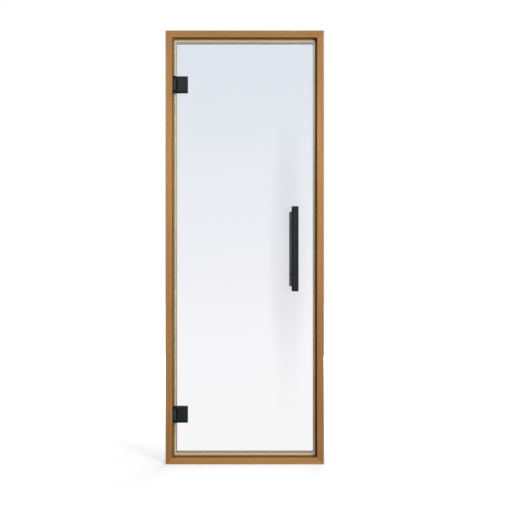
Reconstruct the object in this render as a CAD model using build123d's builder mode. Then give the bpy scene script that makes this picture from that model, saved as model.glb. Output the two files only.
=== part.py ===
"""Framed glass sauna door: a rebated timber frame and one toughened pane on two clamp hinges.

Millimetres. X runs to the right as seen from outside, Y runs into the hot room and Z runs up.
The origin is the middle of the underside of the sill, at half the depth of the frame.
"""
from build123d import *
import os

os.makedirs("parts", exist_ok=True)

# Timber frame
door_width = 690.0
door_height = 1890.0
frame_depth = 92.0
lip_face = 30.0
stop_reach = 13.5
rebate_depth = 34.0
arris = 1.5

# Fixing holes through the jambs, counterbored from inside the rebate
fixing_count = 4
fixing_end_distance = 135.0
fixing_radius = 3.5
fixing_head_radius = 7.5
fixing_head_depth = 12.0
fixing_inset = 22.0

# Silicone seal in the face of the stop
seal_width = 6.5
seal_lip_margin = 0.25
seal_base = 1.0
seal_wall = 0.9
seal_root_width = 2.6
seal_root_depth = 5.0
groove_side_clearance = 0.2
groove_end_clearance = 1.0
seal_gap = 0.5

# Pane
glass_thickness = 8.0
glass_front_inset = 20.0
hinge_side_gap = 5.0
latch_side_gap = 8.0
end_gap = 8.0
glass_edge_bevel = 1.0
glass_corner = 3.0

# Clamp hinges
top_hinge_drop = 234.0
bottom_hinge_height = 216.0
hinge_height = 74.0
knuckle_height = 44.0
knuckle_radius = 7.0
knuckle_end_gap = 0.4
knuckle_wall_gap = 2.0
pivot_inset = 10.0
pin_radius = 4.0
pin_clearance = 0.05
pin_bevel = 0.8
slot_width = 5.0
plate_reach = 45.5
front_plate_thickness = 8.0
back_plate_thickness = 6.0
back_plate_inset = 2.0
plate_bevel_reach = 7.0
plate_bevel_drop = 3.5
plate_side_round = 1.5
back_plate_bevel = 2.0
back_plate_corner = 4.0
gasket_thickness = 1.0
gasket_margin = 0.6
clamp_screw_radius = 3.0
clamp_screw_head = 6.0
clamp_screw_spacing = 40.0
clamp_hole_radius = 7.0
clamp_thread_depth = 6.0
bracket_thickness = 2.5
bracket_front_inset = 2.0
bracket_depth = 27.0
bracket_corner = 5.0
bracket_web = 8.0
bracket_screw_radius = 2.25
bracket_screw_head = 4.5
bracket_screw_spacing = 50.0
bracket_screw_inset = 7.0

# Pull handles, one on each side of the pane
handle_height = 939.0
handle_line = 127.0
fixing_spacing = 220.0
outer_bar_width = 30.0
outer_bar_depth = 22.0
outer_bar_length = 368.0
outer_bar_round = 7.0
outer_finger_room = 38.0
inner_bar_width = 40.0
inner_bar_depth = 18.0
inner_bar_length = 330.0
inner_bar_round = 6.0
inner_finger_room = 35.0
inner_bar_shift = 2.0
bar_end_round = 3.0
standoff_radius = 8.0
rosette_radius = 12.0
rosette_thickness = 4.0
standoff_cove = 3.0
washer_thickness = 1.0
washer_margin = 0.5
stud_radius = 4.0
stud_engagement = 12.0
socket_clearance = 0.2
handle_hole_radius = 7.0

# Spring catch let into the wall of the latch jamb
catch_height = 939.0
catch_tall = 13.0
catch_wide = 12.0
catch_sunk = 10.0
catch_proud = 3.0
catch_inset = 19.0
catch_round = 2.5

# Places worked out from the sizes above
half_width = door_width / 2
front_plane = -frame_depth / 2
member_width = lip_face + stop_reach
stop_plane = front_plane + rebate_depth
wall_x = half_width - lip_face
middle_height = door_height / 2
fixing_pitch = (door_height - 2 * fixing_end_distance) / (fixing_count - 1)
top_hinge_height = door_height - top_hinge_drop

glass_front = front_plane + glass_front_inset
glass_back = glass_front + glass_thickness
glass_left = -wall_x + hinge_side_gap
glass_right = wall_x - latch_side_gap
glass_bottom = lip_face + end_gap
glass_top = door_height - lip_face - end_gap

pivot_x = -wall_x + knuckle_wall_gap + knuckle_radius
pivot_y = front_plane + pivot_inset
plate_left = pivot_x + knuckle_radius + slot_width
plate_right = plate_left + plate_reach
plate_back = glass_front - gasket_thickness
plate_middle = (plate_left + plate_right) / 2
back_plate_front = glass_back + gasket_thickness
hinge_heights = {"top": top_hinge_height, "bottom": bottom_hinge_height}
bracket_middle_y = front_plane + bracket_front_inset + bracket_depth / 2

seal_line = member_width - seal_width / 2 - seal_lip_margin
seal_tip = stop_plane - glass_back - seal_gap

outer_bar_x = half_width - handle_line
inner_bar_x = outer_bar_x - inner_bar_shift
outer_base = glass_front - washer_thickness
outer_bar_back = outer_base - outer_finger_room
inner_base = glass_back + washer_thickness
inner_bar_front = inner_base + inner_finger_room
fixing_heights = {
    "upper": handle_height + fixing_spacing / 2,
    "lower": handle_height - fixing_spacing / 2,
}
catch_y = front_plane + catch_inset


def keep(piece, name):
    """Label a finished piece and write its file."""
    piece.part.label = name
    export_step(piece.part, "parts/" + name + ".step")


def frame_section(plane):
    """Section of a frame member: u in from the outer edge, v back from the front face."""
    with BuildSketch(plane) as section:
        with BuildLine():
            Polyline(
                (0, 0),
                (lip_face, 0),
                (lip_face, rebate_depth),
                (member_width, rebate_depth),
                (member_width, frame_depth),
                (0, frame_depth),
                close=True,
            )
        make_face()
        rebate_corner = section.vertices().sort_by_distance((lip_face, rebate_depth))[0]
        edges_to_ease = section.vertices().filter_by(lambda v: v != rebate_corner)
        fillet(edges_to_ease, arris)
        with Locations((seal_line, rebate_depth)):
            Rectangle(
                seal_root_width + 2 * groove_side_clearance,
                seal_root_depth + groove_end_clearance,
                align=(Align.CENTER, Align.MIN),
                mode=Mode.SUBTRACT,
            )
    return section.sketch


def seal_section(plane):
    """Section of the seal: a root in the groove, a flat base and a hollow bulb towards the pane."""
    half = seal_width / 2
    with BuildSketch(plane) as section:
        with BuildLine():
            foot_left = (seal_line - half, rebate_depth)
            foot_right = (seal_line + half, rebate_depth)
            base_left = (seal_line - half, rebate_depth - seal_base)
            base_right = (seal_line + half, rebate_depth - seal_base)
            crest = (seal_line, rebate_depth - seal_tip)
            Line(base_right, foot_right)
            Line(foot_right, foot_left)
            Line(foot_left, base_left)
            ThreePointArc(base_left, crest, base_right)
        make_face()
        offset(amount=-seal_wall, kind=Kind.INTERSECTION, mode=Mode.SUBTRACT)
        with Locations((seal_line, rebate_depth)):
            Rectangle(seal_root_width, seal_root_depth, align=(Align.CENTER, Align.MIN))
    return section.sketch


def mitred(section, plane, length):
    """A straight length of a section with both ends cut at 45 degrees to meet its neighbours."""
    with BuildPart() as piece:
        extrude(section, amount=length / 2, both=True)
        for end in (-1, 1):
            corner = plane.from_local_coords(Vector(0, 0, end * length / 2))
            cut = Plane(origin=corner, z_dir=plane.x_dir + plane.z_dir * end)
            split(bisect_by=cut, keep=Keep.BOTTOM)
    return piece.part


# Each member has a plane of its own: local X points in from the outer edge, local Y points back.
hinge_jamb_plane = Plane(
    origin=(-half_width, front_plane, middle_height), x_dir=(1, 0, 0), z_dir=(0, 0, 1)
)
latch_jamb_plane = Plane(
    origin=(half_width, front_plane, middle_height), x_dir=(-1, 0, 0), z_dir=(0, 0, -1)
)
head_plane = Plane(origin=(0, front_plane, door_height), x_dir=(0, 0, -1), z_dir=(1, 0, 0))
sill_plane = Plane(origin=(0, front_plane, 0), x_dir=(0, 0, 1), z_dir=(-1, 0, 0))


# The pocket of the catch, on the wall of the latch jamb's rebate, facing into the timber
catch_plane = Plane(origin=(wall_x, catch_y, catch_height), x_dir=(0, 1, 0), z_dir=(1, 0, 0))


def bracket_plane(height):
    """Plane of a hinge bracket on the wall of the hinge jamb's rebate, facing the pane."""
    return Plane(origin=(-wall_x, bracket_middle_y, height), x_dir=(0, 1, 0), z_dir=(1, 0, 0))


def fixing_places(side):
    """Planes of the fixing holes on the wall of one jamb's rebate, facing the pane."""
    return [
        Plane(
            origin=(
                side * wall_x,
                front_plane + fixing_inset,
                fixing_end_distance + count * fixing_pitch,
            ),
            z_dir=(-side, 0, 0),
        )
        for count in range(fixing_count)
    ]


with BuildPart() as hinge_jamb:
    add(mitred(frame_section(hinge_jamb_plane), hinge_jamb_plane, door_height))
    with Locations(*fixing_places(-1)):
        CounterBoreHole(fixing_radius, fixing_head_radius, fixing_head_depth, lip_face)
    for height in hinge_heights.values():
        with BuildSketch(bracket_plane(height)):
            RectangleRounded(bracket_depth, hinge_height, bracket_corner)
        extrude(amount=-bracket_thickness, mode=Mode.SUBTRACT)
keep(hinge_jamb, "hinge_jamb")

with BuildPart() as latch_jamb:
    add(mitred(frame_section(latch_jamb_plane), latch_jamb_plane, door_height))
    with Locations(*fixing_places(1)):
        CounterBoreHole(fixing_radius, fixing_head_radius, fixing_head_depth, lip_face)
    with BuildSketch(catch_plane):
        Rectangle(catch_wide, catch_tall)
    extrude(amount=catch_sunk, mode=Mode.SUBTRACT)
keep(latch_jamb, "latch_jamb")

with BuildPart() as head_rail:
    add(mitred(frame_section(head_plane), head_plane, door_width))
keep(head_rail, "head_rail")

with BuildPart() as sill_rail:
    add(mitred(frame_section(sill_plane), sill_plane, door_width))
keep(sill_rail, "sill_rail")

seal_runs = {
    "hinge_side_seal": (hinge_jamb_plane, door_height),
    "latch_side_seal": (latch_jamb_plane, door_height),
    "head_seal": (head_plane, door_width),
    "sill_seal": (sill_plane, door_width),
}
for name, (plane, length) in seal_runs.items():
    with BuildPart() as seal:
        add(mitred(seal_section(plane), plane, length))
    keep(seal, name)

# The catch sits in its pocket and stands a little proud of the wall, with a rounded nose.
with BuildPart() as latch_catch:
    with BuildSketch(catch_plane):
        Rectangle(catch_wide, catch_tall)
    extrude(amount=catch_sunk)
    extrude(faces().sort_by(Axis.X)[0], amount=catch_proud)
    nose = faces().sort_by(Axis.X)[0]
    fillet(nose.edges().filter_by(Axis.Z), catch_round)
keep(latch_catch, "latch_catch")


def clamp_screw_places(height):
    """Centres of the two clamp screws of one hinge, in X and Z."""
    return [
        (plate_middle, height - clamp_screw_spacing / 2),
        (plate_middle, height + clamp_screw_spacing / 2),
    ]


# Pane, drilled for the clamp screws and for the studs of the handles
with BuildPart() as glass_pane:
    pane_width = glass_right - glass_left
    pane_height = glass_top - glass_bottom
    pane_middle = ((glass_left + glass_right) / 2, (glass_bottom + glass_top) / 2)
    with BuildSketch(Plane.XZ.offset(-glass_back)):
        with Locations(pane_middle):
            RectangleRounded(pane_width, pane_height, glass_corner)
        for height in hinge_heights.values():
            with Locations(*clamp_screw_places(height)):
                Circle(clamp_hole_radius, mode=Mode.SUBTRACT)
        for height in fixing_heights.values():
            with Locations((outer_bar_x, height)):
                Circle(handle_hole_radius, mode=Mode.SUBTRACT)
    extrude(amount=glass_thickness)
    for face in (faces().sort_by(Axis.Y)[0], faces().sort_by(Axis.Y)[-1]):
        chamfer(face.outer_wire().edges(), glass_edge_bevel)
keep(glass_pane, "glass_pane")

# Hinges: the bracket on the jamb holds the middle knuckle, the plate on the pane the outer two.
for place, height in hinge_heights.items():
    with BuildPart() as bracket:
        with BuildSketch(bracket_plane(height)):
            RectangleRounded(bracket_depth, hinge_height, bracket_corner)
        extrude(amount=-bracket_thickness)
        with BuildSketch(Plane.XY.offset(height - knuckle_height / 2)):
            with Locations((pivot_x, pivot_y)):
                Circle(knuckle_radius)
            with Locations((-wall_x, pivot_y)):
                Rectangle(pivot_x + wall_x, bracket_web, align=(Align.MIN, Align.CENTER))
            with Locations((pivot_x, pivot_y)):
                Circle(pin_radius + pin_clearance, mode=Mode.SUBTRACT)
        extrude(amount=knuckle_height)
        with Locations(bracket_plane(height)):
            with Locations(
                (bracket_depth / 2 - bracket_screw_inset, -bracket_screw_spacing / 2),
                (bracket_depth / 2 - bracket_screw_inset, bracket_screw_spacing / 2),
            ):
                CounterSinkHole(bracket_screw_radius, bracket_screw_head, bracket_thickness)
    keep(bracket, place + "_hinge_bracket")

    with BuildPart() as pin:
        with BuildSketch(Plane.XY.offset(height - hinge_height / 2)):
            with Locations((pivot_x, pivot_y)):
                Circle(pin_radius)
        extrude(amount=hinge_height)
        chamfer(pin.edges().filter_by(GeomType.CIRCLE), pin_bevel)
    keep(pin, place + "_hinge_pin")

    notch_height = knuckle_height + 2 * knuckle_end_gap
    with BuildPart() as front_plate:
        with BuildSketch(Plane.XZ.offset(-plate_back)):
            with Locations((plate_right, height)):
                Rectangle(plate_right - pivot_x, hinge_height, align=(Align.MAX, Align.CENTER))
            with Locations((pivot_x, height)):
                Rectangle(
                    plate_left - pivot_x,
                    notch_height,
                    align=(Align.MIN, Align.CENTER),
                    mode=Mode.SUBTRACT,
                )
        extrude(amount=front_plate_thickness)
        front_face = faces().sort_by(Axis.Y)[0]
        end_edges = front_face.edges().filter_by(Axis.X).sort_by(Axis.Z)
        bevelled = [end_edges[0], end_edges[-1]]
        chamfer(bevelled, plate_bevel_reach, plate_bevel_drop, reference=front_face)
        fillet(faces().sort_by(Axis.Y)[0].edges().sort_by(Axis.X)[-1], plate_side_round)
        for end in (-1, 1):
            knuckle_base = height + end * hinge_height / 2
            with BuildSketch(Plane.XY.offset(knuckle_base)):
                with Locations((pivot_x, pivot_y)):
                    Circle(knuckle_radius)
            extrude(amount=-end * (hinge_height - notch_height) / 2)
        with Locations(Plane.XY.offset(height + hinge_height / 2)):
            with Locations((pivot_x, pivot_y)):
                Hole(pin_radius + pin_clearance, hinge_height)
        with Locations(Plane(origin=(0, plate_back, 0), x_dir=(-1, 0, 0), z_dir=(0, 1, 0))):
            with Locations(*[(-x, z) for x, z in clamp_screw_places(height)]):
                Hole(clamp_screw_radius, clamp_thread_depth)
    keep(front_plate, place + "_hinge_front_plate")

    with BuildPart() as back_plate:
        with BuildSketch(Plane.XZ.offset(-back_plate_front)):
            with Locations((plate_middle, height)):
                RectangleRounded(
                    plate_reach - 2 * back_plate_inset,
                    hinge_height - 2 * back_plate_inset,
                    back_plate_corner,
                )
        extrude(amount=-back_plate_thickness)
        outer_face = faces().sort_by(Axis.Y)[-1]
        chamfer(outer_face.edges(), back_plate_bevel)
        outer_plane = Plane(
            origin=(0, back_plate_front + back_plate_thickness, 0), x_dir=(-1, 0, 0), z_dir=(0, 1, 0)
        )
        with Locations(outer_plane):
            with Locations(*[(-x, z) for x, z in clamp_screw_places(height)]):
                CounterSinkHole(clamp_screw_radius, clamp_screw_head, back_plate_thickness)
    keep(back_plate, place + "_hinge_back_plate")

    # The front gasket runs on behind the middle knuckle, so it closes the slot beside it.
    for side, gasket_front, plate_edge, inset in (
        ("front", plate_back, pivot_x, gasket_margin),
        ("back", glass_back, plate_left, back_plate_inset + gasket_margin),
    ):
        gasket_width = plate_right - plate_edge - 2 * inset
        with BuildPart() as gasket:
            with BuildSketch(Plane.XZ.offset(-gasket_front)):
                with Locations(((plate_edge + plate_right) / 2, height)):
                    RectangleRounded(gasket_width, hinge_height - 2 * inset, back_plate_corner)
                with Locations(*clamp_screw_places(height)):
                    Circle(clamp_hole_radius, mode=Mode.SUBTRACT)
            extrude(amount=-gasket_thickness)
        keep(gasket, place + "_hinge_" + side + "_gasket")


def handle_bar(middle_x, nearest_y, direction, width, depth, length, rounding):
    """A straight bar of rounded section that starts at nearest_y and grows along direction."""
    with BuildPart() as bar:
        with BuildSketch(Plane.XY.offset(handle_height - length / 2)):
            with Locations((middle_x, nearest_y + direction * depth / 2)):
                RectangleRounded(width, depth, rounding)
        extrude(amount=length)
        end_faces = faces().filter_by(Axis.Z)
        fillet(end_faces.edges(), bar_end_round)
    return bar


outer_bar = handle_bar(
    outer_bar_x, outer_bar_back, -1, outer_bar_width, outer_bar_depth, outer_bar_length, outer_bar_round
)
keep(outer_bar, "outer_handle_bar")
inner_bar = handle_bar(
    inner_bar_x, inner_bar_front, 1, inner_bar_width, inner_bar_depth, inner_bar_length, inner_bar_round
)
keep(inner_bar, "inner_handle_bar")


def standoff_profile(plane, room):
    """Half section of a standoff: rosette on the washer, cove, and neck up to the bar."""
    with BuildSketch(plane) as profile:
        with BuildLine():
            Line((0, 0), (rosette_radius, 0))
            Line((rosette_radius, 0), (rosette_radius, rosette_thickness))
            Line(
                (rosette_radius, rosette_thickness),
                (standoff_radius + standoff_cove, rosette_thickness),
            )
            RadiusArc(
                (standoff_radius + standoff_cove, rosette_thickness),
                (standoff_radius, rosette_thickness + standoff_cove),
                standoff_cove,
            )
            Line((standoff_radius, rosette_thickness + standoff_cove), (standoff_radius, room))
            Line((standoff_radius, room), (0, room))
            Line((0, room), (0, 0))
        make_face()
    return profile.sketch


for place, height in fixing_heights.items():
    stud_length = washer_thickness * 2 + glass_thickness + stud_engagement
    outward = Plane(origin=(outer_bar_x, outer_base, height), x_dir=(1, 0, 0), z_dir=(0, 0, -1))
    with BuildPart() as outer_standoff:
        revolve(standoff_profile(outward, outer_finger_room), axis=Axis(outward.origin, (0, 1, 0)))
        with BuildSketch(Plane(origin=outward.origin, z_dir=(0, 1, 0))):
            Circle(stud_radius)
        extrude(amount=stud_length)
    keep(outer_standoff, place + "_outer_standoff")

    inward = Plane(origin=(outer_bar_x, inner_base, height), x_dir=(1, 0, 0), z_dir=(0, 0, 1))
    with BuildPart() as inner_standoff:
        revolve(standoff_profile(inward, inner_finger_room), axis=Axis(inward.origin, (0, 1, 0)))
        with Locations(Plane(origin=inward.origin, z_dir=(0, -1, 0))):
            Hole(stud_radius + socket_clearance, stud_engagement + socket_clearance)
    keep(inner_standoff, place + "_inner_standoff")

    for side, washer_front in (("outer", outer_base), ("inner", glass_back)):
        with BuildPart() as washer:
            with BuildSketch(Plane.XZ.offset(-washer_front)):
                with Locations((outer_bar_x, height)):
                    Circle(rosette_radius - washer_margin)
                    Circle(stud_radius + socket_clearance, mode=Mode.SUBTRACT)
            extrude(amount=-washer_thickness)
        keep(washer, place + "_" + side + "_washer")
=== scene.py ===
"""Looks of a framed glass sauna door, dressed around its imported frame.

Metres. X runs to the right as seen from outside, Y runs into the hot room and Z runs up.
"""

import logging
import math
from dataclasses import dataclass
from enum import Enum
from functools import cache

import bmesh
import bpy
from mathutils import Matrix, Vector


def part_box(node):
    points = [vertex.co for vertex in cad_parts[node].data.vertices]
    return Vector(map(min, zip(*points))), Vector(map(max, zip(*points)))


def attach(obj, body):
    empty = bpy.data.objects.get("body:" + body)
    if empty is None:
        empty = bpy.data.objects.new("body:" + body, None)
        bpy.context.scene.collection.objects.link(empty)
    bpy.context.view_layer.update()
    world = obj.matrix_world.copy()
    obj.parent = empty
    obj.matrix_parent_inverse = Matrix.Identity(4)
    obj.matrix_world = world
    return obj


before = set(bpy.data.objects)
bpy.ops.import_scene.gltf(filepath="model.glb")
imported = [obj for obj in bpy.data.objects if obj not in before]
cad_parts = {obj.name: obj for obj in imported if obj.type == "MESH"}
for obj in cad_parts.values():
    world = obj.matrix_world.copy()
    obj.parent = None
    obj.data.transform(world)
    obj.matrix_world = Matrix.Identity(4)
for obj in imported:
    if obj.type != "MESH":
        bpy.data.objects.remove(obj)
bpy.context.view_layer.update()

logging.basicConfig(level=logging.INFO, format="%(message)s")
log = logging.getLogger("sauna_door")

MM = 0.001
WELD = 1e-6
CREASE = math.radians(32)
Colour = tuple[float, float, float]
Point = tuple[float, float, float]
Node = bpy.types.Node
Socket = bpy.types.NodeSocket
Group = bpy.types.NodeTree
Material = bpy.types.Material
Mesh = bmesh.types.BMesh


class GrainRun(Enum):
    """Which way the fibres of a frame member run."""

    UPRIGHT = "upright"
    LEVEL = "level"


class Hinge(Enum):
    """The two hinges of the leaf."""

    TOP = "top"
    BOTTOM = "bottom"


class Fixing(Enum):
    """The upper or the lower one of a pair of fixings."""

    UPPER = "upper"
    LOWER = "lower"

    @property
    def side(self) -> int:
        """Give 1 for the upper fixing and -1 for the lower one."""
        return 1 if self is Fixing.UPPER else -1


def from_screen(red: int, green: int, blue: int) -> Colour:
    """Turn a colour as a screen shows it, 0 to 255, into the light values that shaders take."""
    shares = (value / 255 for value in (red, green, blue))
    return tuple(s / 12.92 if s <= 0.04045 else ((s + 0.055) / 1.055) ** 2.4 for s in shares)


class Nodes:
    """A node tree with short calls for the nodes that the finishes use."""

    def __init__(self, tree: Group) -> None:
        """Keep the tree that the nodes go into."""
        self.tree = tree

    def add(self, kind: str, **settings: object) -> Node:
        """Add a node and set its properties.

        Args:
            kind: The node's type name.
            settings: Property names with their values.

        Returns:
            The new node.
        """
        node = self.tree.nodes.new(kind)
        for name, value in settings.items():
            setattr(node, name, value)
        return node

    def feed(self, socket: Socket, source: object) -> None:
        """Link a socket into another, or set its value.

        Args:
            socket: The input to feed.
            source: An output socket, a number, a vector or a colour.
        """
        if isinstance(source, Socket):
            self.tree.links.new(source, socket)
        elif isinstance(source, tuple) and len(source) == 3 and socket.type == "RGBA":
            socket.default_value = (*source, 1.0)
        else:
            socket.default_value = source

    def fill(self, node: Node, *ordered: object, **named: object) -> Node:
        """Feed a node's inputs.

        Args:
            node: The node.
            ordered: What feeds its first inputs, in order.
            named: Input names, with underscores for spaces, and what feeds them.

        Returns:
            The same node.
        """
        for socket, source in zip(node.inputs, ordered):
            self.feed(socket, source)
        for name, source in named.items():
            self.feed(node.inputs[name.replace("_", " ")], source)
        return node

    def here(self) -> Socket:
        """Give the object coordinates."""
        return self.add("ShaderNodeTexCoord").outputs["Object"]

    def parts(self, vector: object) -> tuple[Socket, ...]:
        """Take a vector apart into X, Y and Z."""
        return tuple(self.fill(self.add("ShaderNodeSeparateXYZ"), vector).outputs)

    def join(self, x: object, y: object, z: object) -> Socket:
        """Join three values into a vector."""
        return self.fill(self.add("ShaderNodeCombineXYZ"), x, y, z).outputs[0]

    def math(self, operation: str, *sources: object, clamp: bool = False) -> Socket:
        """Add a Math node, clamped to between 0 and 1 or not, and give its output."""
        node = self.add("ShaderNodeMath", operation=operation, use_clamp=clamp)
        return self.fill(node, *sources).outputs[0]

    def vector(self, operation: str, *sources: object) -> Socket:
        """Add a Vector Math node and give its vector output."""
        node = self.add("ShaderNodeVectorMath", operation=operation)
        return self.fill(node, *sources).outputs[0]

    def times(self, first: object, second: object) -> Socket:
        """Give the product of two values."""
        return self.math("MULTIPLY", first, second)

    def length(self, vector: object) -> Socket:
        """Give the length of a vector."""
        node = self.add("ShaderNodeVectorMath", operation="LENGTH")
        return self.fill(node, vector).outputs["Value"]

    def apart(self, first: object, second: object) -> Socket:
        """Give the distance between two values."""
        return self.math("ABSOLUTE", self.math("SUBTRACT", first, second))

    def hypot(self, first: object, second: object) -> Socket:
        """Give the square root of the sum of two squares."""
        squares = (self.times(value, value) for value in (first, second))
        return self.math("SQRT", self.math("ADD", *squares))

    def total(self, start: object, *terms: tuple[object, float], clamp: bool = False) -> Socket:
        """Add weighted values to a first one.

        Args:
            start: The first value.
            terms: Values with their weights.
            clamp: True to keep the result between 0 and 1.

        Returns:
            The sum.
        """
        *first, last = (self.times(value, weight) for value, weight in terms)
        for term in first:
            start = self.math("ADD", start, term)
        return self.math("ADD", start, last, clamp=clamp)

    def span(
        self,
        value: object,
        low: float,
        high: float,
        to_low: float = 0.0,
        to_high: float = 1.0,
        smooth: bool = True,
    ) -> Socket:
        """Map a value from one span to another, and hold it at the ends.

        Args:
            value: What feeds the node.
            low: Start of the span that is read.
            high: End of the span that is read.
            to_low: Result at the start.
            to_high: Result at the end.
            smooth: True for a soft start and end.

        Returns:
            Its output.
        """
        kind = "SMOOTHSTEP" if smooth else "LINEAR"
        node = self.add("ShaderNodeMapRange", interpolation_type=kind)
        return self.fill(node, value, low, high, to_low, to_high).outputs["Result"]

    def noise(self, where: object, scale: float, detail: float, rough: float) -> Socket:
        """Add a Noise Texture with so many cells to a unit, and give its value."""
        node = self.add("ShaderNodeTexNoise")
        return self.fill(node, Vector=where, Scale=scale, Detail=detail, Roughness=rough).outputs[0]

    def stretched(self, where: object, cells: Point, detail: float, rough: float = 0.5) -> Socket:
        """Add a Noise Texture with its own number of cells to a metre along each axis."""
        return self.noise(self.vector("MULTIPLY", where, cells), 1.0, detail, rough)

    def mix(self, share: object, low: object, high: object, blend: str = "MIX") -> Socket:
        """Mix two colours.

        Args:
            share: How much of the second colour.
            low: The first colour.
            high: The second colour.
            blend: The way they are blended.

        Returns:
            The mixed colour.
        """
        node = self.add("ShaderNodeMix", data_type="RGBA", blend_type=blend)
        for number, source in ((0, share), (6, low), (7, high)):
            self.feed(node.inputs[number], source)
        return node.outputs[2]

    def bump(self, height: object, depth: float, strength: float) -> Socket:
        """Add a Bump node whose height of 1 is a depth in metres, and give its normal."""
        node = self.add("ShaderNodeBump")
        return self.fill(node, Height=height, Distance=depth, Strength=strength).outputs["Normal"]


class Effect:
    """Shader node groups that several finishes share, each made once."""

    @staticmethod
    def start(
        name: str, inputs: dict[str, float | None], outputs: tuple[str, ...]
    ) -> tuple[Group, Nodes, Node, Node]:
        """Make an empty group with named inputs and outputs.

        Args:
            name: The group's name.
            inputs: Input names with their first values, or None for a vector input.
            outputs: The names of its value outputs.

        Returns:
            The group, its nodes, its input node and its output node.
        """
        group = bpy.data.node_groups.new(name, "ShaderNodeTree")
        for label, value in inputs.items():
            kind = "NodeSocketVector" if value is None else "NodeSocketFloat"
            socket = group.interface.new_socket(label, in_out="INPUT", socket_type=kind)
            if value is not None:
                socket.default_value = value
        for label in outputs:
            group.interface.new_socket(label, in_out="OUTPUT", socket_type="NodeSocketFloat")
        nodes = Nodes(group)
        return group, nodes, nodes.add("NodeGroupInput"), nodes.add("NodeGroupOutput")

    @staticmethod
    @cache
    def edge_ease() -> Group:
        """Give the group that finds rounded and worn outer edges.

        Returns:
            A group with a Mask output that is 1 on an edge.
        """
        inputs = {"Radius": 1.0 * MM, "Breakup": 0.5}
        group, nodes, given, result = Effect.start("edge_ease", inputs, ("Mask",))
        bevel = nodes.fill(nodes.add("ShaderNodeBevel", samples=4), given.outputs["Radius"])
        normal = nodes.add("ShaderNodeNewGeometry").outputs["Normal"]
        dot = nodes.add("ShaderNodeVectorMath", operation="DOT_PRODUCT")
        nodes.fill(dot, bevel.outputs["Normal"], normal)
        turned = nodes.span(dot.outputs["Value"], 0.995, 0.86)
        patchy = nodes.span(nodes.noise(nodes.here(), 95.0, 4.0, 0.65), 0.38, 0.66)
        held = nodes.mix(given.outputs["Breakup"], (1.0, 1.0, 1.0), patchy)
        nodes.fill(result, Mask=nodes.math("MULTIPLY", turned, held, clamp=True))
        return group

    @staticmethod
    @cache
    def dust() -> Group:
        """Give the group that lays a thin film of dust on faces that look up.

        Returns:
            A group with a Mask output that is 1 where the film is thick.
        """
        group, nodes, given, result = Effect.start("dust", {"Amount": 0.3}, ("Mask",))
        normal = nodes.add("ShaderNodeNewGeometry").outputs["Normal"]
        upward = nodes.span(nodes.parts(normal)[2], 0.15, 0.95)
        cloud = nodes.span(nodes.noise(nodes.here(), 140.0, 5.0, 0.7), 0.3, 0.75)
        film = nodes.times(upward, cloud)
        film = nodes.math("MULTIPLY", film, given.outputs["Amount"], clamp=True)
        nodes.fill(result, Mask=film)
        return group

    @staticmethod
    @cache
    def fibre() -> Group:
        """Give the group that draws wood fibres, growth rings and pores along its own Z axis.

        Returns:
            A group with Streak, Ring, Pore, Drift, Band and Height outputs, from metres.
        """
        group, nodes, given, result = Effect.start(
            "fibre",
            {"Vector": None, "Ring Width": 3.4 * MM},
            ("Streak", "Ring", "Pore", "Drift", "Band", "Height"),
        )
        place = given.outputs["Vector"]
        x, y, z = nodes.parts(place)
        heart_x, heart_y, lean, sway_width = 0.071, 0.112, 0.021, 0.016
        from_heart = nodes.hypot(
            nodes.total(heart_x, (x, 1.0), (z, lean)), nodes.math("ADD", y, heart_y)
        )
        sway = nodes.math("SUBTRACT", nodes.stretched(place, (9.0, 9.0, 0.9), 3.0, 0.55), 0.5)
        radius = nodes.total(from_heart, (sway, sway_width))
        phase = nodes.math("FRACT", nodes.math("DIVIDE", radius, given.outputs["Ring Width"]))
        coarse = nodes.stretched(place, (420.0, 420.0, 7.0), 3.0, 0.6)
        fine = nodes.stretched(place, (1500.0, 1500.0, 22.0), 2.0)
        streak = nodes.total(0.0, (coarse, 0.62), (fine, 0.38))
        pore = nodes.span(nodes.stretched(place, (2100.0, 2100.0, 95.0), 1.0, 0.4), 0.66, 0.74)
        nodes.fill(
            result,
            Streak=nodes.span(streak, 0.30, 0.70, smooth=False),
            Ring=nodes.times(nodes.span(phase, 0.25, 0.86), nodes.span(phase, 1.0, 0.93)),
            Pore=pore,
            Drift=nodes.span(nodes.stretched(place, (16.0, 16.0, 2.4), 2.0), 0.28, 0.72),
            Band=nodes.span(nodes.stretched(place, (150.0, 150.0, 1.8), 2.0), 0.3, 0.7),
            Height=nodes.total(0.0, (streak, 0.6), (pore, -1.0)),
        )
        return group


class Finish:
    """What every finish has: a material with one Principled shader."""

    @staticmethod
    def blank(name: str) -> tuple[Material, Nodes, Node, Node]:
        """Make a material with only a Principled shader and its output.

        Args:
            name: The material's name.

        Returns:
            The material, its nodes, the shader and the output node.
        """
        material = bpy.data.materials.new(name)
        material.use_nodes = True
        material.node_tree.nodes.clear()
        nodes = Nodes(material.node_tree)
        shader = nodes.add("ShaderNodeBsdfPrincipled")
        output = nodes.add("ShaderNodeOutputMaterial")
        material.node_tree.links.new(shader.outputs["BSDF"], output.inputs["Surface"])
        return material, nodes, shader, output

    @staticmethod
    def use(nodes: Nodes, group: Group, **values: object) -> Node:
        """Place a shared effect in a material and feed its inputs by name."""
        return nodes.fill(nodes.add("ShaderNodeGroup", node_tree=group), **values)

    @staticmethod
    def from_end(nodes: Nodes, z: Socket, height: float) -> Socket:
        """Measure how far a point lies in from the nearer end of the frame's height."""
        return nodes.math("SUBTRACT", height / 2, nodes.apart(z, height / 2))


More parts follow.
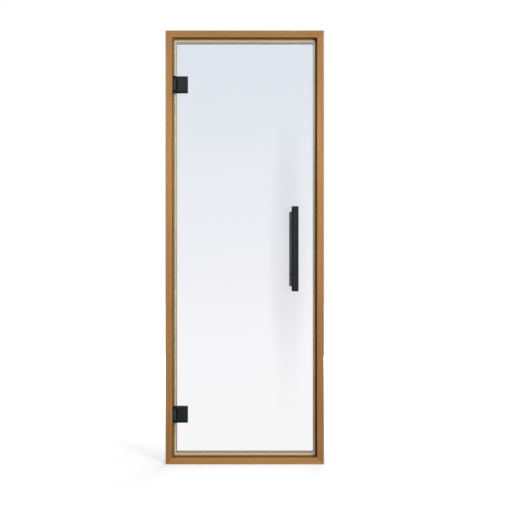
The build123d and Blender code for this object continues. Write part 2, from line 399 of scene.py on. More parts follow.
@dataclass(frozen=True)
class TimberFinish(Finish):
    """Oiled reddish-brown timber, with its fibres along the member, painted light that darkens it
    towards the foot, painted shade on the rebate's wall faces and painted reflection on the reveal
    behind the pane.
    """

    run: GrainRun
    light: Colour = from_screen(168, 128, 79)
    dark: Colour = from_screen(130, 91, 50)
    pore: Colour = from_screen(92, 56, 28)
    worn: Colour = from_screen(186, 142, 92)
    seam: Colour = from_screen(64, 38, 20)
    # Painted shade: multiplied into the rebate's wall faces.
    sunk: Colour = (0.37, 0.20, 0.08)
    # Painted reflection and light: tints that lighten and grey the reveal behind the pane, more
    # towards the foot.
    reveal_foot: Colour = (1.28, 1.38, 1.18)
    reveal_top: Colour = (0.98, 1.03, 0.86)
    # Painted light: tones by height, darker towards the foot, brightest at peak_height and a little
    # darker at the top.
    foot_tone: Colour = (0.665, 0.603, 0.537)
    peak_tone: Colour = (1.07, 1.07, 1.07)
    top_tone: Colour = (0.86, 0.845, 0.82)
    peak_height: float = 1.36
    wall_inset: float = 30.0 * MM
    reveal_inset: float = 43.0 * MM
    stop_line: float = -11.5 * MM
    seam_half_width: float = 0.25 * MM
    seam_depth: float = 0.8
    ring_width: float = 3.4 * MM
    arris: float = 1.6 * MM
    base_tone: float = 0.10
    streak_share: float = 0.40
    broad_share: float = 0.26
    pore_share: float = 0.45
    worn_share: float = 0.3
    roughness: float = 0.60
    specular: float = 0.36
    grain_depth: float = 0.10 * MM

    def build(self, half_width: float, height: float) -> Material:
        """Make the material.

        Args:
            half_width: Half the frame's outer width.
            height: The frame's outer height.

        Returns:
            The material.
        """
        material, nodes, shader, _ = self.blank(f"timber_{self.run.value}")
        x, y, z = nodes.parts(nodes.here())
        along = nodes.join(x, y, z) if self.run is GrainRun.UPRIGHT else nodes.join(z, y, x)
        grain = self.use(nodes, Effect.fibre(), Vector=along, Ring_Width=self.ring_width)
        streak, pore = grain.outputs["Streak"], grain.outputs["Pore"]
        tone = nodes.total(
            self.base_tone,
            (streak, self.streak_share),
            (grain.outputs["Drift"], self.broad_share),
            (grain.outputs["Band"], self.broad_share),
            (grain.outputs["Ring"], -self.broad_share),
            clamp=True,
        )
        colour = nodes.mix(tone, self.dark, self.light)
        colour = nodes.mix(nodes.times(pore, self.pore_share), colour, self.pore)
        # Painted light: the timber darkens towards the foot and a little at the top.
        risen = nodes.span(z, 0.0, self.peak_height, smooth=False)
        past = nodes.span(z, self.peak_height, height, smooth=False)
        toned = nodes.mix(past, nodes.mix(risen, self.foot_tone, self.peak_tone), self.top_tone)
        colour = nodes.mix(1.0, colour, toned, "MULTIPLY")
        edge = self.use(nodes, Effect.edge_ease(), Radius=self.arris, Breakup=0.6)
        rubbed = nodes.times(edge.outputs["Mask"], self.worn_share)
        colour = nodes.mix(rubbed, colour, self.worn)
        from_side = nodes.math("SUBTRACT", half_width, nodes.math("ABSOLUTE", x))
        from_end = self.from_end(nodes, z, height)
        inward = nodes.math("MINIMUM", from_side, from_end)
        # Painted shade on the rebate's wall faces.
        rebate_shade = self.rebate_shade_mask(nodes, y, inward)
        colour = nodes.mix(rebate_shade, colour, self.sunk, "MULTIPLY")
        # Painted reflection and light on the reveal behind the pane, stronger towards the foot.
        veiled_reveal = nodes.span(inward, self.reveal_inset - 0.5 * MM, self.reveal_inset + 0.3 * MM)
        reveal = nodes.mix(risen, self.reveal_foot, self.reveal_top)
        colour = nodes.mix(veiled_reveal, colour, reveal, "MULTIPLY")
        off = nodes.apart(from_side, from_end)
        seam = self.seam_half_width
        mitre = nodes.span(off, seam * 2, seam, 0.0, self.seam_depth)
        rough = nodes.total(self.roughness, (streak, -0.12), (pore, 0.18), (rebate_shade, 0.3), clamp=True)
        nodes.fill(
            shader,
            Base_Color=nodes.mix(mitre, colour, self.seam),
            Roughness=rough,
            Specular_IOR_Level=self.specular,
            Normal=nodes.bump(grain.outputs["Height"], self.grain_depth, 0.55),
        )
        return material

    def rebate_shade_mask(self, nodes: Nodes, y: Socket, inward: Socket) -> Socket:
        """Find the rebate's wall faces, which get painted shade."""
        deep = nodes.span(inward, self.wall_inset - 0.9 * MM, self.wall_inset - 0.2 * MM)
        return nodes.times(deep, nodes.span(y, self.stop_line, self.stop_line - 3.0 * MM))


@dataclass(frozen=True)
class GlassFinish(Finish):
    """Clear toughened glass: faint roller waves, a breath of finger marks, edges ground matt, with
    painted shade on the ground edges.
    """

    tint: Colour = (0.99, 0.99, 0.99)
    body: Colour = (0.62, 0.93, 0.84)
    body_density: float = 3.0
    index: float = 1.5
    clearness: float = 0.975
    wave_depth: float = 0.02 * MM
    wave_cells: Point = (3.0, 0.0, 5.0)
    mark_fade: Point = (9.0, 0.0, 5.0)
    mark_roughness: float = 0.03
    # Painted shade on the ground edges: near black at the top and bottom, a lighter beige at the
    # sides.
    ends: Colour = (0.06, 0.08, 0.06)
    sides: Colour = (0.54, 0.52, 0.41)
    ground_width: float = 0.75 * MM
    ground_roughness: float = 0.6

    def build(self, handled: Point, low: Vector, high: Vector) -> Material:
        """Make the material.

        Args:
            handled: The point about which hands have touched the pane.
            low: The low corner of the pane's box.
            high: Its high corner.

        Returns:
            The material.
        """
        material, nodes, shader, output = self.blank("clear_glass")
        place = nodes.here()
        x, _, z = nodes.parts(place)
        ends = self.edge_mask(nodes, z, low.z, high.z)
        sides = self.edge_mask(nodes, x, low.x, high.x)
        ground = nodes.times(nodes.math("MAXIMUM", ends, sides), self.ground_roughness)
        away = nodes.vector("MULTIPLY", nodes.vector("SUBTRACT", place, handled), self.mark_fade)
        touched = nodes.span(nodes.length(away), 1.0, 0.2)
        smear = nodes.span(nodes.noise(place, 120.0, 5.0, 0.7), 0.52, 0.78)
        marks = nodes.times(nodes.times(touched, smear), self.mark_roughness)
        waves = nodes.stretched(place, self.wave_cells, 0.0)
        nodes.fill(
            shader,
            # The ground edges carry painted shade.
            Base_Color=nodes.mix(ends, nodes.mix(sides, self.tint, self.sides), self.ends),
            IOR=self.index,
            Transmission_Weight=self.clearness,
            Roughness=nodes.math("MAXIMUM", marks, ground),
            Normal=nodes.bump(waves, self.wave_depth, 0.4),
        )
        unlit = nodes.add("ShaderNodeBsdfTransparent").outputs[0]
        shadow = nodes.add("ShaderNodeLightPath").outputs["Is Shadow Ray"]
        either = nodes.fill(nodes.add("ShaderNodeMixShader"), shadow, shader.outputs[0], unlit)
        inside = nodes.add("ShaderNodeVolumeAbsorption")
        nodes.fill(inside, Color=self.body, Density=self.body_density)
        nodes.fill(output, Surface=either.outputs[0], Volume=inside.outputs[0])
        return material

    def edge_mask(self, nodes: Nodes, along: Socket, low: float, high: float) -> Socket:
        """Find the two ground edges across one axis, from the pane's ends on it."""
        start = (high - low) / 2 - self.ground_width
        return nodes.span(nodes.apart(along, (low + high) / 2), start, start + 0.1 * MM)


@dataclass(frozen=True)
class PowderCoatFinish(Finish):
    """Matt black powder coat on metal, with a fine orange peel and rubbed edges."""

    name: str = "black_coat"
    coat: Colour = (0.0032, 0.0056, 0.0066)
    faded: Colour = (0.0058, 0.0086, 0.0098)
    rubbed: Colour = (0.040, 0.041, 0.042)
    dust: Colour = (0.12, 0.11, 0.10)
    roughness: float = 0.44
    specular: float = 0.27
    peel_scale: float = 1500.0
    peel_depth: float = 0.05 * MM

    def build(self) -> Material:
        """Make the material.

        Returns:
            The material.
        """
        material, nodes, shader, _ = self.blank(self.name)
        place = nodes.here()
        cloud = nodes.span(nodes.noise(place, 38.0, 4.0, 0.6), 0.3, 0.7)
        colour = nodes.mix(cloud, self.coat, self.faded)
        edge = self.use(nodes, Effect.edge_ease(), Radius=0.7 * MM, Breakup=0.8)
        colour = nodes.mix(nodes.times(edge.outputs["Mask"], 0.55), colour, self.rubbed)
        film = self.use(nodes, Effect.dust(), Amount=0.25).outputs["Mask"]
        peel = nodes.noise(place, self.peel_scale, 2.0, 0.45)
        nodes.fill(
            shader,
            Base_Color=nodes.mix(film, colour, self.dust),
            Roughness=nodes.total(self.roughness, (cloud, 0.07), (film, 0.5)),
            Specular_IOR_Level=self.specular,
            Normal=nodes.bump(peel, self.peel_depth, 0.35),
        )
        return material


@dataclass(frozen=True)
class SiliconeFinish(Finish):
    """Cream silicone, slightly translucent and dusty, with painted shade in the fold along head and
    sill, and painted shade over its middle heights when given a tint for it.
    """

    name: str = "cream_silicone"
    pale: Colour = from_screen(185, 170, 131)
    toned: Colour = from_screen(173, 156, 116)
    dust: Colour = (0.32, 0.26, 0.18)
    # Painted shade for the seal's outer strip along head and sill, beside the rebate.
    fold_shade: Colour = (0.50, 0.43, 0.33)
    # Painted shade, multiplied in between foot_reach and top_reach, strongest over the middle
    # heights.
    middle_shade: Colour = (1.0, 1.0, 1.0)
    top_reach: tuple[float, float] = (1.70, 1.0)
    foot_reach: tuple[float, float] = (-0.05, 0.2)
    fold_line: tuple[float, float] = (3.0 * MM, 1.4 * MM)

    def build(self, height: float, fold: float) -> Material:
        """Make the material.

        Args:
            height: The frame's outer height.
            fold: How far the seal's outer edge lies in from the ends of that height.

        Returns:
            The material.
        """
        material, nodes, shader, _ = self.blank(self.name)
        place = nodes.here()
        z = nodes.parts(place)[2]
        cloud = nodes.span(nodes.noise(place, 26.0, 5.0, 0.65), 0.3, 0.72)
        colour = nodes.mix(cloud, self.pale, self.toned)
        film = self.use(nodes, Effect.dust(), Amount=0.5).outputs["Mask"]
        colour = nodes.mix(film, colour, self.dust)
        # Painted shade on the seal's outer strip along head and sill.
        from_end = self.from_end(nodes, z, height)
        fold_shade_mask = nodes.span(from_end, *(fold + line for line in self.fold_line))
        colour = nodes.mix(fold_shade_mask, colour, self.fold_shade, "MULTIPLY")
        # Painted shade over the middle heights.
        reach = nodes.times(nodes.span(z, *self.top_reach), nodes.span(z, *self.foot_reach))
        skin = nodes.noise(place, 900.0, 3.0, 0.5)
        nodes.fill(
            shader,
            Base_Color=nodes.mix(reach, colour, self.middle_shade, "MULTIPLY"),
            Subsurface_Weight=0.25,
            Subsurface_Radius=(1.0, 0.75, 0.5),
            Subsurface_Scale=1.5 * MM,
            Roughness=nodes.span(skin, 0.3, 0.7, 0.42, 0.56),
            Normal=nodes.bump(skin, 0.05 * MM, 0.4),
        )
        return material


@dataclass(frozen=True)
class RubberFinish(Finish):
    """Black gasket rubber, matt, with a trace of bloom."""

    name: str = "gasket_rubber"
    black: Colour = (0.0018, 0.0018, 0.0018)
    bloom: Colour = (0.0050, 0.0050, 0.0050)
    specular: float = 0.08

    def build(self) -> Material:
        """Make the material.

        Returns:
            The material.
        """
        material, nodes, shader, _ = self.blank(self.name)
        place = nodes.here()
        cloud = nodes.span(nodes.noise(place, 160.0, 5.0, 0.7), 0.35, 0.75)
        nodes.fill(
            shader,
            Base_Color=nodes.mix(cloud, self.black, self.bloom),
            Roughness=nodes.span(cloud, 0.0, 1.0, 0.72, 0.86),
            Specular_IOR_Level=self.specular,
            Normal=nodes.bump(nodes.noise(place, 2400.0, 2.0, 0.5), 0.04 * MM, 0.5),
        )
        return material


@dataclass(frozen=True)
class SteelFinish(Finish):
    """Bare steel turned about an upright axis, or the dark blued steel of the screws."""

    name: str
    bright: Colour
    dull: Colour
    roughness: float
    spread: float = 0.06
    ring_cells: Point = (60.0, 60.0, 4200.0)

    def build(self) -> Material:
        """Make the material.

        Returns:
            The material.
        """
        material, nodes, shader, _ = self.blank(self.name)
        place = nodes.here()
        rings = nodes.stretched(place, self.ring_cells, 2.0)
        cloud = nodes.span(nodes.noise(place, 210.0, 4.0, 0.6), 0.3, 0.7)
        least, most = self.roughness - self.spread, self.roughness + self.spread
        nodes.fill(
            shader,
            Base_Color=nodes.mix(cloud, self.bright, self.dull),
            Metallic=1.0,
            Roughness=nodes.span(rings, 0.3, 0.7, least, most),
            Normal=nodes.bump(rings, 0.01 * MM, 0.4),
        )
        return material


@dataclass(frozen=True)
class PlasticFinish(Finish):
    """Moulded plastic with a fine spark-eroded grain."""

    name: str
    shade: Colour
    scuffed: Colour
    roughness: float = 0.5

    def build(self) -> Material:
        """Make the material.

        Returns:
            The material.
        """
        material, nodes, shader, _ = self.blank(self.name)
        place = nodes.here()
        edge = self.use(nodes, Effect.edge_ease(), Radius=0.5 * MM, Breakup=0.7)
        cloud = nodes.span(nodes.noise(place, 90.0, 4.0, 0.6), 0.35, 0.8, 0.0, 0.4)
        worn = nodes.math("MAXIMUM", cloud, edge.outputs["Mask"])
        spark = nodes.noise(place, 3200.0, 2.0, 0.6)
        least, most = self.roughness - 0.05, self.roughness + 0.08
        nodes.fill(
            shader,
            Base_Color=nodes.mix(worn, self.shade, self.scuffed),
            Roughness=nodes.span(spark, 0.3, 0.7, least, most),
            Normal=nodes.bump(spark, 0.03 * MM, 0.5),
        )
        return material


class Maker:
    """Turns a bmesh into a finished piece of the object."""

    @staticmethod
    def piece(name: str, shape: Mesh, material: Material, body: str, slot: str) -> None:
        """Close a bmesh off as an object that rides on a body.

        Args:
            name: The piece's name.
            shape: Its mesh, in place.
            material: Its finish.
            body: The body that it rides on.
            slot: The record's material slot; not used.
        """
        bmesh.ops.remove_doubles(shape, verts=shape.verts, dist=WELD)
        bmesh.ops.recalc_face_normals(shape, faces=shape.faces)
        mesh = bpy.data.meshes.new(name)
        shape.to_mesh(mesh)
        shape.free()
        piece = bpy.data.objects.new(name, mesh)
        bpy.context.scene.collection.objects.link(piece)
        mesh.materials.append(material)
        mesh.shade_smooth()
        mesh.set_sharp_from_angle(angle=CREASE)
        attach(piece, body)
        log.info("piece %s: %d faces, on %s", name, len(mesh.polygons), body)

    @staticmethod
    def paint(node: str, material: Material) -> None:
        """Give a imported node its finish.

        Args:
            node: The node's name.
            material: Its finish.
        """
        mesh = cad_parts[node].data
        mesh.materials.clear()
        mesh.materials.append(material)
        log.info("node %s: %s", node, material.name)

    @staticmethod
    def stack(shape: Mesh, rings: list[tuple[int, float, float]], close: bool = True) -> None:
        """Bridge rings about the Z axis into a skin and close the last one.

        Args:
            shape: The mesh that it joins.
            rings: Corners, radius and depth below the origin of each ring, in order.
            close: True to close the last ring with a face.
        """
        loops = []
        for corners, radius, depth in rings:
            below = Matrix.Translation((0, 0, -depth))
            made = bmesh.ops.create_circle(
                shape, cap_ends=False, segments=corners, radius=radius, matrix=below
            )
            fresh = set(made["verts"])
            loops.append([edge for edge in shape.edges if set(edge.verts) <= fresh])
        for first, second in zip(loops, loops[1:]):
            bmesh.ops.bridge_loops(shape, edges=first + second)
        if close:
            bmesh.ops.contextual_create(shape, geom=loops[-1])

    @staticmethod
    def place(shape: Mesh, where: Point, facing: Point) -> None:
        """Move a mesh made about the Z axis to a point, with its top facing a direction."""
        turn = Vector((0, 0, 1)).rotation_difference(Vector(facing)).to_matrix().to_4x4()
        bmesh.ops.transform(shape, matrix=Matrix.Translation(where) @ turn, verts=shape.verts)


@dataclass(frozen=True)
class SunkScrew:
    """A countersunk screw with a socket in its head, made with its axis along Z."""

    head_radius: float
    shank_radius: float
    cone_depth: float
    length: float
    socket_radius: float
    socket_depth: float
    sunk: float = 0.25 * MM
    rim_ease: float = 0.15 * MM
    land_depth: float = 0.35 * MM
    mouth_width: float = 0.35 * MM
    mouth_depth: float = 0.10 * MM
    point_share: float = 0.35
    point_depth_share: float = 1.2
    socket_corners: int = 6
    round_corners: int = 32

    def shape(self) -> Mesh:
        """Make the screw with the top of its head a little below the origin.

        Returns:
            Its mesh.
        """
        made = bmesh.new()
        corners, sides, top = self.round_corners, self.socket_corners, self.sunk
        Maker.stack(
            made,
            [
                (sides, self.socket_radius, top + self.mouth_depth),
                (corners, self.socket_radius + self.mouth_width, top),
                (corners, self.head_radius - self.rim_ease, top),
                (corners, self.head_radius, top + self.rim_ease),
                (corners, self.head_radius, top + self.land_depth),
                (corners, self.shank_radius, top + self.cone_depth),
                (corners, self.shank_radius, self.length),
            ],
        )
        point_depth = top + self.socket_depth * self.point_depth_share
        Maker.stack(
            made,
            [
                (sides, self.socket_radius, top + self.mouth_depth),
                (sides, self.socket_radius, top + self.socket_depth),
                (sides, self.socket_radius * self.point_share, point_depth),
            ],
        )
        return made


@dataclass(frozen=True)
class GrubScrew:
    """A headless screw with a hexagon socket in its end, made with its axis along Z."""

    radius: float = 2.3 * MM
    length: float = 2.0 * MM
    rim_width: float = 0.3 * MM
    rim_depth: float = 0.25 * MM
    socket_radius: float = 1.15 * MM
    socket_depth: float = 1.2 * MM
    point_share: float = 0.4
    point_depth: float = 1.5 * MM
    socket_corners: int = 6
    round_corners: int = 24

    def shape(self) -> Mesh:
        """Make the screw with its end at the origin.

        Returns:
            Its mesh.
        """
        made = bmesh.new()
        corners, sides = self.round_corners, self.socket_corners
        Maker.stack(
            made,
            [
                (sides, self.socket_radius * self.point_share, self.point_depth),
                (sides, self.socket_radius, self.socket_depth),
                (sides, self.socket_radius, 0.0),
                (corners, self.radius - self.rim_width, 0.0),
                (corners, self.radius, self.rim_depth),
                (corners, self.radius, self.length),
            ],
        )
        return made


class TimberFrame:
    """The four rebated members of the frame."""

    finishes: dict[tuple[str, ...], TimberFinish] = {
        ("hinge_jamb", "latch_jamb"): TimberFinish(GrainRun.UPRIGHT),
        ("head_rail", "sill_rail"): TimberFinish(
            GrainRun.LEVEL,
            # The head and sill get their own painted rebate shade, painted light by height and
            # painted reflection on the reveal.
            sunk=(0.98, 0.79, 0.56),
            foot_tone=(0.88, 0.88, 0.86),
            top_tone=(0.775, 0.76, 0.68),
            reveal_foot=(0.98, 1.07, 0.92),
            reveal_top=(0.96, 1.0, 0.72),
        ),
    }

    def dress(self) -> None:
        """Give each member timber with its fibres along it."""
        half_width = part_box("latch_jamb")[1].x
        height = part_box("head_rail")[1].z
        for members, finish in self.finishes.items():
            timber = finish.build(half_width, height)
            for member in members:
                Maker.paint(member, timber)


class SealRing:
    """The silicone seal in the face of the stop."""

    finishes: dict[tuple[str, ...], SiliconeFinish] = {
        ("head_seal", "sill_seal"): SiliconeFinish(),
        # Painted shade: a darker copy of the silicone for the hinge-side run.
        ("hinge_side_seal",): SiliconeFinish(
            name="shaded_silicone", pale=from_screen(172, 159, 124), toned=from_screen(154, 140, 102)
        ),
        # Painted light and shade: a lighter copy of the silicone for the latch-side run, darkened
        # over its middle heights.
        ("latch_side_seal",): SiliconeFinish(
            name="lit_and_shaded_silicone",
            pale=from_screen(206, 198, 172),
            toned=from_screen(192, 182, 150),
            middle_shade=(0.74, 0.54, 0.16),
        ),
    }

    def dress(self) -> None:
        """Give each run its silicone: a darker painted-shade copy on the hinge side, and a lighter
        painted-light copy with painted shade over the middle heights on the latch side.
        """
        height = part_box("head_rail")[1].z
        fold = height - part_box("head_seal")[1].z
        for runs, finish in self.finishes.items():
            silicone = finish.build(height, fold)
            for run in runs:
                Maker.paint(run, silicone)


class Pane:
    """The pane of glass."""

    def dress(self) -> None:
        """Give the pane its glass."""
        low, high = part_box("outer_handle_bar")
        middle = (low + high) / 2
        foot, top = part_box("glass_pane")
        glass = GlassFinish().build((middle.x, 0.0, middle.z), foot, top)
        Maker.paint("glass_pane", glass)


@dataclass
class ClampHinges:
    """The two hinges, with the screws and thrust rings that hold them together."""

    screw_spacing: float = 40.0 * MM
    bracket_plate: float = 2.5 * MM
    bracket_screw_spacing: float = 50.0 * MM
    bracket_screw_inset: float = 7.0 * MM
    knuckle_half: float = 22.0 * MM
    knuckle_gap: float = 0.4 * MM
    thrust_thickness: float = 0.34 * MM
    thrust_inner: float = 4.15 * MM
    thrust_outer: float = 6.6 * MM
    thrust_corners: int = 32
    clamp_screw: SunkScrew = SunkScrew(
        head_radius=5.7 * MM,
        shank_radius=2.9 * MM,
        cone_depth=3.3 * MM,
        length=20.0 * MM,
        socket_radius=2.3 * MM,
        socket_depth=2.4 * MM,
    )
    bracket_screw: SunkScrew = SunkScrew(
        head_radius=4.2 * MM,
        shank_radius=2.0 * MM,
        cone_depth=2.4 * MM,
        length=6.0 * MM,
        socket_radius=1.5 * MM,
        socket_depth=1.6 * MM,
    )

    def dress(self) -> None:
        """Finish both hinges and add their small pieces."""
        coat = PowderCoatFinish().build()
        # Painted highlight: the brackets, with their middle knuckles, get a lighter copy of the
        # black coat.
        knuckle_highlight_coat = PowderCoatFinish(
            name="knuckle_highlight_coat",
            coat=(0.017, 0.018, 0.0185),
            faded=(0.025, 0.026, 0.0265),
            roughness=0.4,
        ).build()
        rubber = RubberFinish().build()
        pin_steel = SteelFinish("pin_steel", (0.46, 0.455, 0.45), (0.33, 0.325, 0.32), 0.34).build()
        blued = SteelFinish("screw_steel", (0.16, 0.16, 0.165), (0.09, 0.09, 0.093), 0.36).build()
        nylon = PlasticFinish("nylon", (0.05, 0.05, 0.052), (0.12, 0.12, 0.12)).build()
        for hinge in Hinge:
            name = f"{hinge.value}_hinge"
            Maker.paint(f"{name}_bracket", knuckle_highlight_coat)
            Maker.paint(f"{name}_pin", pin_steel)
            for side in ("front", "back"):
                Maker.paint(f"{name}_{side}_plate", coat)
                Maker.paint(f"{name}_{side}_gasket", rubber)
            self.add_clamp_screws(name, blued)
            self.add_bracket_screws(name, blued)
            self.add_thrust_rings(name, nylon)

    def add_clamp_screws(self, name: str, steel: Material) -> None:
        """Fill the countersunk holes of a back plate.

        Args:
            name: The hinge's name.
            steel: The finish of the screws.
        """
        low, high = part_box(f"{name}_back_plate")
        middle = (low + high) / 2
        for fixing in Fixing:
            where = (middle.x, high.y, middle.z + fixing.side * self.screw_spacing / 2)
            shape = self.clamp_screw.shape()
            Maker.place(shape, where, (0, 1, 0))
            piece = f"{name}_{fixing.value}_clamp_screw"
            Maker.piece(piece, shape, steel, "leaf", "black_metal")

    def add_bracket_screws(self, name: str, steel: Material) -> None:
        """Fill the countersunk holes of a bracket.

        Args:
            name: The hinge's name.
            steel: The finish of the screws.
        """
        low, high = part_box(f"{name}_bracket")
        across = high.y - self.bracket_screw_inset
        for fixing in Fixing:
            height = (low.z + high.z) / 2 + fixing.side * self.bracket_screw_spacing / 2
            shape = self.bracket_screw.shape()
            Maker.place(shape, (low.x + self.bracket_plate, across, height), (1, 0, 0))
            piece = f"{name}_{fixing.value}_bracket_screw"
            Maker.piece(piece, shape, steel, "frame", "black_metal")

    def add_thrust_rings(self, name: str, nylon: Material) -> None:
        """Lay a thin ring between the middle knuckle and each outer one.

        Args:
            name: The hinge's name.
            nylon: The finish of the rings.
        """
        low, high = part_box(f"{name}_pin")
        middle = (low + high) / 2
        half = self.thrust_thickness / 2
        inner, outer = self.thrust_inner, self.thrust_outer
        skin = ((inner, half), (outer, half), (outer, -half), (inner, -half), (inner, half))
        for fixing in Fixing:
            shape = bmesh.new()
            Maker.stack(shape, [(self.thrust_corners, *row) for row in skin], close=False)
            top = fixing.side * (self.knuckle_half + self.knuckle_gap / 2)
            Maker.place(shape, (middle.x, middle.y, middle.z + top), (0, 0, 1))
            piece = f"{name}_{fixing.value}_thrust_ring"
            Maker.piece(piece, shape, nylon, "frame", "catch_plastic")


@dataclass
class PullHandles:
    """The two bar handles with their stand-offs."""

    neck_radius: float = 8.0 * MM
    grub_inset: float = 9.0 * MM
    grub_sink: float = 0.15 * MM
    grub_screw: GrubScrew = GrubScrew()

    def dress(self) -> None:
        """Finish both handles and add the grub screws that lock the inner one."""
        coat = PowderCoatFinish(
            name="handle_coat",
            rubbed=(0.012, 0.012, 0.012),
            coat=(0.0048, 0.0053, 0.0056),
            faded=(0.0080, 0.0087, 0.0090),
            roughness=0.38,
        ).build()
        # Painted reflection: the inner bar, seen through the pane, gets a lighter copy of the black
        # coat.
        painted_veil_coat = PowderCoatFinish(
            name="painted_veil_coat",
            coat=(0.021, 0.021, 0.0212),
            faded=(0.030, 0.030, 0.030),
            roughness=0.42,
        ).build()
        rubber = RubberFinish(name="washer_rubber").build()
        steel = SteelFinish("grub_steel", (0.09, 0.09, 0.095), (0.05, 0.05, 0.053), 0.4).build()
        Maker.paint("outer_handle_bar", coat)
        Maker.paint("inner_handle_bar", painted_veil_coat)
        for fixing in Fixing:
            for side in ("outer", "inner"):
                Maker.paint(f"{fixing.value}_{side}_standoff", coat)
                Maker.paint(f"{fixing.value}_{side}_washer", rubber)
            self.add_grub_screw(fixing, steel)

    def add_grub_screw(self, fixing: Fixing, steel: Material) -> None:
        """Set a grub screw in the underside of an inner stand-off.

        Args:
            fixing: Which stand-off.
            steel: The finish of the screw.
        """
        low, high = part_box(f"{fixing.value}_inner_standoff")
        middle = (low + high) / 2
        shape = self.grub_screw.shape()
        height = middle.z - self.neck_radius - self.grub_sink
        Maker.place(shape, (middle.x, high.y - self.grub_inset, height), (0, 0, -1))
        Maker.piece(f"{fixing.value}_grub_screw", shape, steel, "leaf", "black_metal")


class Catch:
    """The spring catch in the wall of the latch jamb."""

    def dress(self) -> None:
        """Give the catch its plastic."""
        finish = PlasticFinish("catch_plastic", (0.085, 0.088, 0.082), (0.16, 0.16, 0.15))
        Maker.paint("latch_catch", finish.build())


@dataclass(frozen=True)
class FloorFinish(Finish):
    """Pale matt floor that shows white to the camera and keeps the soft shadow."""

    shade: Colour = (0.86, 0.86, 0.86)
    roughness: float = 0.7
    specular: float = 0.1
    near: float = 0.5
    far: float = 2.2
    near_lift: float = 0.42
    far_lift: float = 0.8

    def build(self) -> Material:
        """Make the material.

        Returns:
            The material.
        """
        material, nodes, shader, output = self.blank("pale_floor")
        nodes.fill(shader, Base_Color=self.shade, Roughness=self.roughness)
        nodes.fill(shader, Specular_IOR_Level=self.specular)
        seen = nodes.add("ShaderNodeLightPath").outputs["Is Camera Ray"]
        out = nodes.length(nodes.here())
        lift = nodes.span(out, self.near, self.far, self.near_lift, self.far_lift)
        lift = nodes.times(seen, lift)
        glow = nodes.fill(nodes.add("ShaderNodeEmission"), (1.0, 1.0, 1.0), lift).outputs[0]
        both = nodes.fill(nodes.add("ShaderNodeAddShader"), shader.outputs[0], glow)
        nodes.fill(output, Surface=both.outputs[0])
        return material


@dataclass(frozen=True)
class StudioWorld:
    """White ground to the camera, with a soft gradient in glass and metal.

    Slopes are the rise or the side step of a ray for each metre that it goes in Y.
    """

    fill_light: Colour = (0.28, 0.285, 0.29)
    low_slope: float = -0.21
    high_slope: float = 0.24
    least_depth: float = 0.05
    stops: tuple[tuple[float, Colour], ...] = (
        (0.0, (1.0, 0.980, 0.988)),
        (0.267, (0.932, 0.916, 0.938)),
        (0.467, (0.819, 0.815, 0.858)),
        (0.750, (0.671, 0.705, 0.762)),
        (0.905, (0.592, 0.645, 0.722)),
    )
    shade_side: float = 0.0315
    shade_rise: float = -0.015
    shade_width: float = 0.020
    shade_height: float = 0.152
    shade_depth: float = 0.96
    shade_in_front: float = 0.055
    gloss_slope: float = 0.5
    gloss_top: float = 3.3

    def build(self) -> None:
        """Make the world and set it."""
        world = bpy.data.worlds.new("studio")
        bpy.context.scene.world = world
        world.use_nodes = True
        world.node_tree.nodes.clear()
        nodes = Nodes(world.node_tree)
        path = nodes.add("ShaderNodeLightPath").outputs
        x, y, z = nodes.parts(nodes.add("ShaderNodeTexCoord").outputs["Generated"])
        facing = nodes.math("ABSOLUTE", y)
        ahead = nodes.math("MAXIMUM", facing, self.least_depth)
        rise, side = nodes.math("DIVIDE", z, ahead), nodes.math("DIVIDE", x, ahead)
        low = self.low_slope
        level = nodes.span(rise, low, self.gloss_slope, 0.0, self.gloss_top, smooth=False)
        away = nodes.span(facing, 0.45, 0.97, 0.06, 1.0)
        behind = nodes.span(nodes.math("ABSOLUTE", x), 0.12, 0.45, 0.45, 0.08)
        away = nodes.times(away, nodes.span(y, 0.1, -0.1, behind, 1.0))
        direct = nodes.math("SUBTRACT", 1.0, path["Glossy Depth"], clamp=True)
        through = nodes.times(path["Is Transmission Ray"], direct)
        seen = nodes.mix(through, nodes.times(level, away), self.gradient(nodes, rise))
        patch = nodes.hypot(
            nodes.math("DIVIDE", nodes.math("SUBTRACT", side, self.shade_side), self.shade_width),
            nodes.math("DIVIDE", nodes.math("SUBTRACT", rise, self.shade_rise), self.shade_height),
        )
        backward = nodes.span(y, 0.0, -0.1)
        frontal = nodes.span(rise, 0.04, -0.06, 0.0, self.shade_in_front)
        backward = nodes.math("MAXIMUM", backward, frontal)
        shade = nodes.times(nodes.times(nodes.span(patch, 1.15, 0.35), backward), self.shade_depth)
        seen = nodes.mix(shade, seen, (0.0, 0.0, 0.0))
        lit = nodes.mix(path["Is Diffuse Ray"], seen, self.fill_light)
        final = nodes.mix(path["Is Camera Ray"], lit, (1.0, 1.0, 1.0))
        background = nodes.fill(nodes.add("ShaderNodeBackground"), Color=final)
        nodes.fill(nodes.add("ShaderNodeOutputWorld"), Surface=background.outputs[0])

    def gradient(self, nodes: Nodes, rise: Socket) -> Socket:
        """Make the gradient that shows through the glass.

        Args:
            nodes: The world's nodes.
            rise: A ray's slope.

        Returns:
            The gradient's colour.
        """
        ramp = nodes.add("ShaderNodeValToRGB")
        nodes.feed(ramp.inputs[0], nodes.span(rise, self.low_slope, self.high_slope, smooth=False))
        elements = ramp.color_ramp.elements
        for number in (0, -1):
            elements[number].position = self.stops[number][0]
            elements[number].color = (*self.stops[number][1], 1.0)
        for position, colour in self.stops[1:-1]:
            elements.new(position).color = (*colour, 1.0)
        return ramp.outputs[0]


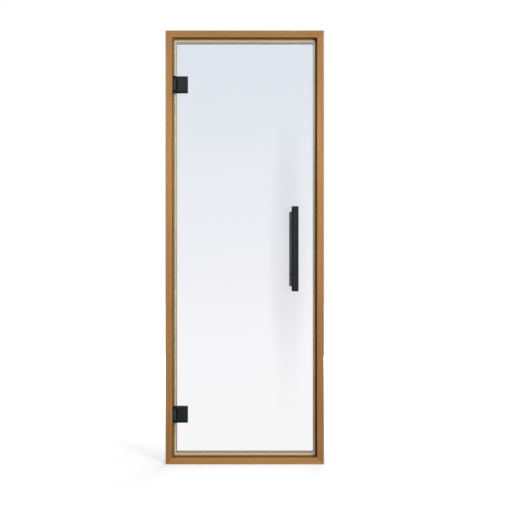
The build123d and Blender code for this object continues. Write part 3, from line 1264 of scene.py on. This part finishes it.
@dataclass(frozen=True)
class Lamp:
    """A soft square lamp with its place, the point that it faces, its side and its watts."""

    name: str
    where: Point
    towards: Point
    size: float
    power: float

    def hang(self) -> None:
        """Hang the lamp so that it lights, but shows neither in nor through the glass."""
        data = bpy.data.lights.new(self.name, "AREA")
        data.shape = "SQUARE"
        data.size = self.size
        data.energy = self.power
        lamp = bpy.data.objects.new(self.name, data)
        lamp.location = self.where
        aim = Vector(self.towards) - Vector(self.where)
        lamp.rotation_euler = aim.to_track_quat("-Z", "Y").to_euler()
        lamp.visible_transmission = lamp.visible_glossy = False
        bpy.context.scene.collection.objects.link(lamp)


@dataclass
class Studio:
    """The plain pale room: floor, soft lamps, white ground and camera."""

    camera_x: float = 0.0491
    camera_z: float = 0.9077
    camera_distance: float = 4.33
    picture_width: float = 512.0
    focal_pixels: float = 994.3
    sensor: float = 36.0
    camera_reach: float = 100.0
    floor_reach: float = 14.0
    lamps: tuple[Lamp, ...] = (
        Lamp("key", (4.3, -7.6, 1.0), (0.0, 0.0, 0.95), 1.5, 745.0),
        Lamp("top", (0.3, -1.6, 3.9), (0.0, 0.0, 0.6), 2.2, 8.0),
        Lamp("back", (1.0, 4.6, 1.2), (0.0, 0.0, 0.9), 2.0, 135.0),
    )

    def build(self) -> None:
        """Set up everything around the object."""
        self.add_camera()
        self.add_floor()
        StudioWorld().build()
        for lamp in self.lamps:
            lamp.hang()
        bpy.context.scene.view_settings.view_transform = "Standard"

    def add_camera(self) -> None:
        """Set the camera square to the door, a little right of its middle."""
        data = bpy.data.cameras.new("camera")
        data.sensor_width = self.sensor
        data.lens = self.focal_pixels / self.picture_width * self.sensor
        data.clip_end = self.camera_reach
        camera = bpy.data.objects.new("camera", data)
        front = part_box("hinge_jamb")[0].y
        camera.location = (self.camera_x, front - self.camera_distance, self.camera_z)
        camera.rotation_euler = (math.pi / 2, 0.0, 0.0)
        bpy.context.scene.collection.objects.link(camera)
        bpy.context.scene.camera = camera

    def add_floor(self) -> None:
        """Lay a wide pale floor."""
        shape = bmesh.new()
        bmesh.ops.create_grid(shape, x_segments=8, y_segments=8, size=self.floor_reach)
        mesh = bpy.data.meshes.new("floor")
        shape.to_mesh(mesh)
        shape.free()
        mesh.materials.append(FloorFinish().build())
        floor = bpy.data.objects.new("floor", mesh)
        bpy.context.scene.collection.objects.link(floor)
        floor.visible_glossy = floor.visible_transmission = False


def main() -> None:
    """Build the room, then dress the door from its frame to its small pieces."""
    Studio().build()
    for assembly in (TimberFrame(), SealRing(), Pane(), ClampHinges(), PullHandles(), Catch()):
        assembly.dress()
        log.info("dressed %s", type(assembly).__name__)


if __name__ == "__main__":
    main()
